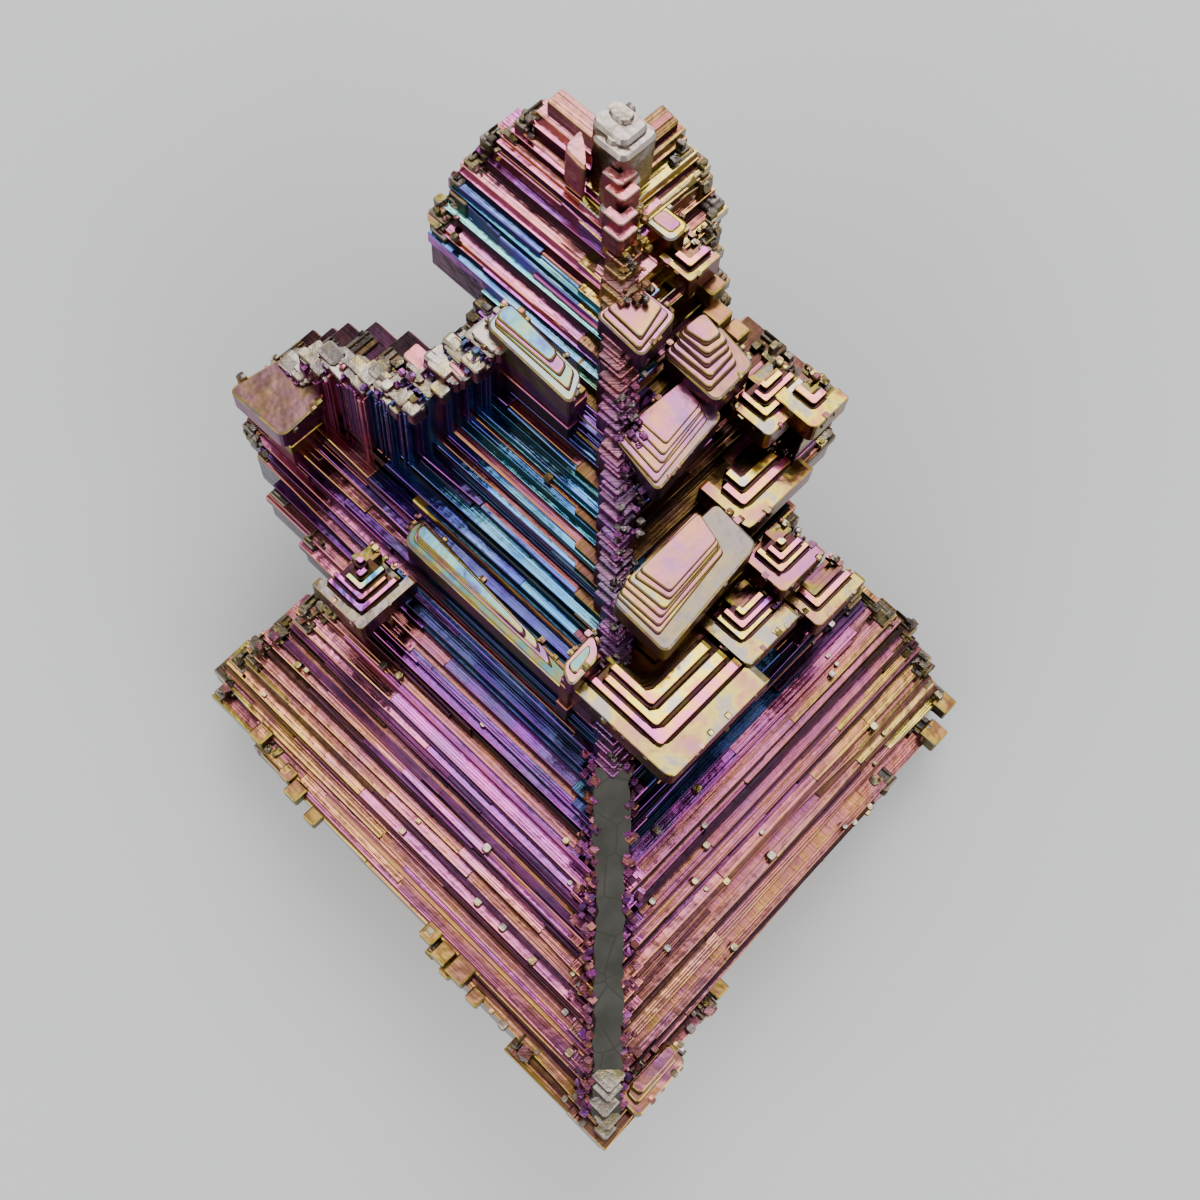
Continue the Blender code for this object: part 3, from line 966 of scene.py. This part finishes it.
def fray(one, other, top, count):
    """Grains along the edge of a plate, between two (left, right) places."""
    for _ in range(count):
        size = between(0.15, 0.5)
        spot = np.array(one) + (np.array(other) - one) * between(0.12, 0.88)
        place = np.array((*(spot + between(0.05, 0.3)), top - between(0.1, 0.5)))
        grow(
            chance.choice((SLAB, BAR, CRUMBS[0])), place - size / 2, place + size / 2,
            film=chance.choice((0.05, GOLD, 0.2, 0.3)), shade=between(0.3, 0.9), bare=0.4,
            run=EVEN, wear=0.06, corner=0.1, side=(0.2, 0.2),
        )


def grow_column(near, far, foot, top):
    """The column that holds a plate up, in uneven courses, painted dark as painted shade under the
    plate.
    """
    while foot < top:
        course = min(foot + between(0.5, 1.7), top + 0.01)
        out = between(0.0, 0.3)
        film = between(0.14, 0.4)
        grow(
            BAR, (*(near - out), foot - 0.3), (*far, course), film=film, shade=0.3, run=0,
            wear=0.06, side=(film, between(0.06, 0.35)), edge=(film, 0.5),
        )
        foot = course


def grow_hopper(near, far, top, outer, count, inner, outer_look, films):
    near = np.array(near, float)
    far = np.array(far, float)
    inner = np.array(inner)
    low = top - PLATE_THICKNESS
    film, bare = outer_look
    fray(near, (near[0], far[1]), top, 9)
    fray(near, (far[0], near[1]), top, 9)
    fray((near[0], far[1] - 0.4), far - (0, 0.4), top, 9)
    grow_ledge(
        near, far, outer, low, top, film=film, shade=0.6, bare=bare, wear=0.08,
        edge=(GOLD, 0.8), side=(film + 0.08, 0.22),
    )
    for index in range(count):
        start = near + outer + inner * index + between(-0.07, 0.07)
        stop = far - 0.35 * (index + 1) - (between(0.0, 0.8), between(0.0, 0.8))
        stop = np.maximum(stop, start + inner)
        rest = inner * (count - index) + (0.2, 0.2)
        # A dark ledge under each inner ledge: painted shade in the gap beneath it.
        grow_ledge(
            start - 0.16, stop - 0.1, rest, top - 0.6, top + LEDGE_RISE * index + 0.07,
            film=0.3, shade=0.07, bare=0.1, side=(0.3, 0.05),
        )
        grow_ledge(
            start + 0.05, stop, inner * 0.66, top - 0.6, top + LEDGE_RISE * (index + 1),
            film=films[index % len(films)], shade=0.9, bare=0.0, side=(0.3, 0.06),
            edge=((films[index % len(films)] + GOLD) / 2, 0.8),
        )
    pit = near + outer + inner * count
    # The pit and its steps are painted dark: painted shade in the recess.
    grow(BAR, (*pit, low - 0.4), (*far, top - PIT_DEPTH), film=0.2, shade=0.22, bare=0.2)
    for step in range(3):
        grow_ledge(
            pit + 0.35 * (step + 0.4), far - 0.2, (0.3, 0.3), top - PIT_DEPTH - 0.3,
            top - 0.2 - 0.35 * step, film=0.2, shade=0.3, bare=0.2, side=(0.2, 0.1),
        )
    foot = min(near.min() + 0.4, low - 2.0)
    inset = min(1.6, 0.35 * (far - near).min())
    grow_column(near + inset, far - 0.2, foot, low + 0.4)


for hopper in HOPPERS.values():
    grow_hopper(*hopper)
hopper_finish = oxide_film("hopper_oxide", waver=0.19, roughness=0.14, relief=0.3, grooves=0.0)
join("hoppers", hopper_finish)


# ------------------------------------------------
# The mounds: thin plates beside the spine whose middles grew up in fine steps, each a little
# smaller than the one below it.

# near, right, far and left corners of the base, its height, then its film, bareness and how light it is
# painted;
# the corners of the mound on it, the count and rise of its steps, how far the last of them is drawn
# back, and their films
MOUNDS = {
    "low_block": (
        ((-0.3, 2.7), (-0.1, 7.6), (1.7, 7.7), (1.8, 2.8)), 2.6, (0.30, 0.3, 0.9),
        ((0.5, 3.3), (0.6, 7.2), (1.6, 7.5), (1.6, 3.3)), 2, 0.2, 0.3, (0.30, 0.34),
    ),
    "taupe_plate": (
        ((16.3, 20.0), (17.2, 29.2), (20.9, 29.6), (20.9, 20.2)), 25.0, (0.07, 0.75, 0.6),
        ((17.5, 20.5), (18.2, 27.2), (21.2, 28.0), (21.0, 20.6)), 6, 0.07, 0.4,
        (GOLD, 0.27, 0.31, GOLD, 0.3, 0.29),
    ),
    "grey_plate": (
        ((23.0, 26.1), (23.8, 32.8), (27.0, 33.0), (27.6, 27.0)), 28.0, (0.3, 0.7, 0.7),
        ((23.5, 26.5), (24.3, 32.0), (27.0, 32.6), (27.4, 27.1)), 5, 0.06, 0.45, (0.36, 0.28, 0.4, 0.3),
    ),
    "nested_plate": (
        ((24.2, 32.4), (24.4, 36.1), (28.6, 36.8), (28.9, 32.6)), 29.4, (0.3, 0.5, 0.6),
        ((25.1, 32.7), (25.3, 35.5), (28.7, 36.2), (28.8, 32.8)), 5, 0.2, 0.7, (0.33, 0.30),
    ),
    "lump": (
        ((28.4, 30.0), (29.0, 33.7), (32.2, 33.6), (32.4, 30.2)), 32.2, (0.34, 0.5, 0.9),
        ((28.8, 30.4), (29.5, 33.3), (32.0, 33.2), (32.0, 30.6)), 2, 0.16, 0.3, (0.38, 0.3),
    ),
    "mauve_plate": (
        ((32.0, 36.2), (32.1, 38.0), (34.5, 38.0), (34.4, 36.2)), 33.8, (GOLD, 0.0, 0.8),
        ((32.5, 36.6), (32.5, 37.6), (34.0, 37.6), (34.0, 36.6)), 1, 0.06, 0.0, (0.38,),
    ),
    "pearl_plate": (
        ((29.6, 25.4), (30.6, 27.4), (37.3, 27.9), (37.0, 25.7)), 30.8, (0.80, 0.75, 0.95),
        ((30.3, 25.9), (31.0, 27.2), (37.0, 27.7), (36.8, 26.0)), 3, 0.1, 0.5, (0.84, 0.42, 0.78),
    ),
    "long_plate": (
        ((17.6, 15.9), (18.2, 16.7), (35.3, 18.0), (34.8, 15.9)), 19.0, (0.86, 0.35, 0.4),
        ((22.0, 16.4), (23.0, 17.0), (34.8, 17.8), (34.3, 16.5)), 3, 0.1, 0.3, (0.42, 0.9, 0.78),
    ),
    "petal": (
        ((19.3, 15.2), (19.5, 18.0), (20.9, 18.9), (20.7, 15.9)), 22.6, (0.27, 0.4, 0.9),
        ((19.8, 15.9), (19.9, 17.6), (20.6, 18.2), (20.5, 16.2)), 1, 0.12, 0.0, (0.8,),
    ),
    "corner_block": (
        ((44.2, 14.6), (44.4, 18.4), (48.4, 20.4), (49.3, 14.5)), 22.0, (0.26, 0.6, 0.42),
        None, 0, 0, 0, (),
    ),
}


def shrink(corners, share):
    """The four corners drawn back towards the far one."""
    near, right, far, left = (np.array(pair, float) for pair in corners)
    return (
        near + (far - near) * share,
        right + (far - right) * share * 0.85,
        far,
        left + (far - left) * share * 0.85,
    )


def grow_mound(corners, top, base_look, mound, count, rise, pull, films):
    film, bare, tone = base_look
    low = top - PLATE_THICKNESS
    for one, other in zip(corners, corners[1:]):
        fray(one, other, top, 5)
    grow_plate(
        corners, low, top, film=film, shade=tone, bare=bare, corner=0.55, wear=0.08,
        edge=(GOLD - 0.02, 0.8), side=(film + 0.15, 0.3),
    )
    for index in range(count):
        share = pull * index / count
        uneven = [
            np.array(pair) + (between(-0.13, 0.13), between(-0.13, 0.13))
            for pair in mound
        ]
        # A dark plate under each step: painted shade along its edge.
        grow_plate(
            shrink(uneven, share - rise * 0.22), top - 0.5, top + rise * (index + 0.4),
            film=0.3, shade=0.08, corner=0.25, wear=0.02, side=(0.3, 0.05),
        )
        grow_plate(
            shrink(uneven, share), top - 0.5, top + rise * (index + 1),
            film=films[index % len(films)], shade=0.72, bare=0.4, corner=0.3,
            wear=min(0.05, rise * 0.4), edge=(GOLD + 0.03, 0.8), side=(0.3, 0.08),
        )
    near = np.array(corners[0])
    far = np.array(corners[2])
    foot = min(near.min() + 0.4, low - 2.0)
    inset = min(1.6, 0.3 * (far - near).min())
    grow_column(near + inset, far - 0.4, foot, low + 0.4)


for mound in MOUNDS.values():
    grow_mound(*mound)
mound_finish = oxide_film("plate_oxide", waver=0.15, roughness=0.23, relief=0.4, grooves=0.0)
join("plates", mound_finish)


# ------------------------------------------------
# The broken wall at the top of the middle left lobe: upright blocks whose faces are lined along
# their growth, under a bright broken lip.

LEFT_WALL = (
    (48.4, 19.8, 22.8), (46.9, 20.7, 24.0), (45.2, 21.2, 25.0), (43.3, 21.2, 26.0),
    (41.7, 21.5, 26.4), (40.3, 21.7, 27.2), (39.7, 23.0, 27.9), (39.2, 24.3, 28.7),
    (38.6, 25.5, 29.5), (38.0, 26.6, 30.3),
)
WALL_BLOCK = (2.4, 1.8)
LIP_PIECES = 10
WALL_CRUMBS = 5

chance = random.Random(61)
for left, right, top in LEFT_WALL:
    near = right - WALL_BLOCK[1]
    foot = near - 1.8
    grow(
        BAR, (left - WALL_BLOCK[0], near, foot), (left, right, top - 0.5), film=0.02, shade=0.7,
        run=2, wear=0.1, side=(0.42, 0.3), edge=(0.04, 0.8),
    )
    strip = left - WALL_BLOCK[0]
    while strip < left:
        wide = between(0.1, 0.34)
        film = between(0.30, 0.50) + 0.2 * (left < 42)
        # Left of 42 mm the strips' sides are painted lighter, as painted light at the foot of the lip.
        unshaded = between(0.3, 1.0) + 0.25 * (left < 42)
        grow(
            BAR, (strip, near - between(0.05, 0.5), foot - between(0, 0.8)),
            (strip + wide, near + 0.5, top - between(0.5, 1.3)), film=film, shade=0.5, run=2,
            bare=0.3, wear=0.04, side=(film, unshaded), edge=(film, unshaded),
        )
        strip += wide * 0.85
    for _ in range(LIP_PIECES):
        wide = between(0.6, 1.8)
        deep = between(0.6, 1.3)
        spot = left - between(0.0, WALL_BLOCK[0] + 0.2) - wide / 2
        start = near + between(-0.2, 0.9)
        lip = top - between(0.05, 0.75)
        grow(
            chance.choice((SLAB, BAR)), (spot, start, lip - 1.2), (spot + wide, start + deep, lip),
            film=chance.choice((0.0, 0.02, 0.05, 0.3)), shade=1.0, bare=0.1, run=EVEN,
            wear=0.15, corner=0.2, side=(0.35, 0.25), edge=(0.03, 1.0),
            turn=three(-5, 5),
        )
    for _ in range(WALL_CRUMBS):
        size = between(0.15, 0.45)
        place = np.array((
            left - between(0.0, WALL_BLOCK[0]), near + between(0.0, 1.3),
            top - between(0.2, 0.9),
        ))
        grow(
            chance.choice(CRUMBS), place - size / 2, place + size / 2,
            film=chance.choice((0.05, 0.08, 0.3, 0.45)), shade=between(0.6, 1.0), bare=0.3,
            run=EVEN, turn=three(-18, 18), side=(0.3, 0.5),
        )
wall_finish = oxide_film("wall_oxide", waver=0.07, roughness=0.26, relief=0.5, grooves=0.3)
join("broken_wall", wall_finish)


# ------------------------------------------------
# Small cubes that sit in clusters on the edges.

CUBES = (
    ((14.2, 0.5, 0.3), 1.8), ((16.0, 0.6, 0.4), 1.5), ((12.6, 0.3, 0.0), 1.2),
    ((17.6, 1.0, 0.9), 1.4), ((15.3, 0.3, 0.1), 1.1), ((31.6, 1.2, 1.3), 1.4),
    ((33.0, 1.8, 1.6), 1.2), ((29.6, 1.0, 0.9), 1.2), ((36.2, 2.2, 2.1), 1.4),
    ((27.6, 36.3, 28.2), 1.6), ((26.4, 36.9, 27.4), 1.4), ((28.9, 37.0, 29.4), 1.5),
    ((1.6, 36.4, 1.8), 1.7), ((2.6, 38.7, 2.4), 1.5), ((1.0, 12.2, 0.6), 1.3),
)
CUBES_IN_CLUSTER = 6

chance = random.Random(71)
for corner, breadth in CUBES:
    heart = np.array(corner) + breadth * 0.05
    grow(BAR, heart, heart + breadth * 0.9, film=0.2, shade=0.5, wear=0.1, side=(0.14, 0.2))
    for _ in range(CUBES_IN_CLUSTER):
        size = breadth * three(0.25, 0.55)
        low = np.array(corner) + breadth * three(0.1, 0.55)
        grow(
            BAR, low, low + size, film=between(0.06, 0.28), shade=between(0.4, 1),
            wear=0.07, side=(0.14, 0.25), edge=(0.1, 1.0),
        )
join("edge_cubes", droplet_finish)

for pattern in (BAR, SLAB, LEDGE, *CRUMBS):
    bpy.data.objects.remove(pattern[0])


# ------------------------------------------------
# The facet that the crystal rests on: the pieces that reach the table are cut off level with it,
# and the cut shows bare metal.

FACET = {"film": 0.05, "shade": 0.9, "bare": 0.6, "run": EVEN}

for name in ("core_blocks", "left_terraces", "right_terraces", "arm_rims", "edge_cubes"):
    select_only(bpy.data.objects[name])
    enter("EDIT")
    bpy.ops.mesh.select_all(action="SELECT")
    bpy.ops.mesh.bisect(
        plane_co=(0, 0, 0), plane_no=(0, 0, 1), clear_inner=True, use_fill=True, threshold=1e-7
    )
    enter("OBJECT")
    mesh = bpy.data.objects[name].data
    for face in mesh.polygons:
        if face.normal.z < -0.99 and abs(face.center.z) < 1e-6:
            for quality, value in FACET.items():
                mesh.attributes[quality].data[face.index].value = value


# ------------------------------------------------
# The table, the light and the camera: a plain pale floor under soft boxes, darker straight above.

select_only()
bpy.ops.mesh.primitive_plane_add(size=1.6, location=(0, 0, 0))
table = bpy.context.object
table.name = "table"
table_finish = Finish("pale_table")
table_finish.surface(Base_Color=(0.93, 0.935, 0.93, 1), Roughness=0.6)
table.data.materials.append(table_finish.material)

world = bpy.data.worlds.new("soft_room")
world.use_nodes = True
world.node_tree.nodes["Background"].inputs["Color"].default_value = (0.95, 0.97, 1.0, 1)
world.node_tree.nodes["Background"].inputs["Strength"].default_value = 0.6
bpy.context.scene.world = world
LIGHT_DISTANCE = 0.6


def soft_light(name, heading, height, size, brightness):
    """A square softbox over half a metre off that looks at the crystal."""
    angle = math.radians(heading)
    lift = math.radians(height)
    level_part = math.cos(lift)
    towards = Vector((math.cos(angle) * level_part, math.sin(angle) * level_part, math.sin(lift)))
    select_only()
    bpy.ops.object.light_add(type="AREA", location=towards * LIGHT_DISTANCE)
    lamp = bpy.context.object
    lamp.name = name
    lamp.data.size = size
    lamp.data.energy = brightness * math.pi * size**2
    lamp.rotation_euler = (-towards).to_track_quat("-Z", "Y").to_euler()


soft_light("key_softbox", 80, 43, 0.27, 4.0)
soft_light("low_softbox", 84, 24, 0.2, 3.2)
soft_light("left_softbox", 200, 30, 0.5, 1.7)
soft_light("right_softbox", -25, 30, 0.5, 1.9)

CAMERA_HEIGHT = 0.1145
bpy.ops.object.camera_add(location=(0.000957, 0.003537, CAMERA_HEIGHT), rotation=(0, 0, 0))
camera = bpy.context.object
camera.name = "view_from_above"
camera.data.lens = 45
camera.data.sensor_width = 36
camera.data.clip_start = 0.005
bpy.context.scene.camera = camera
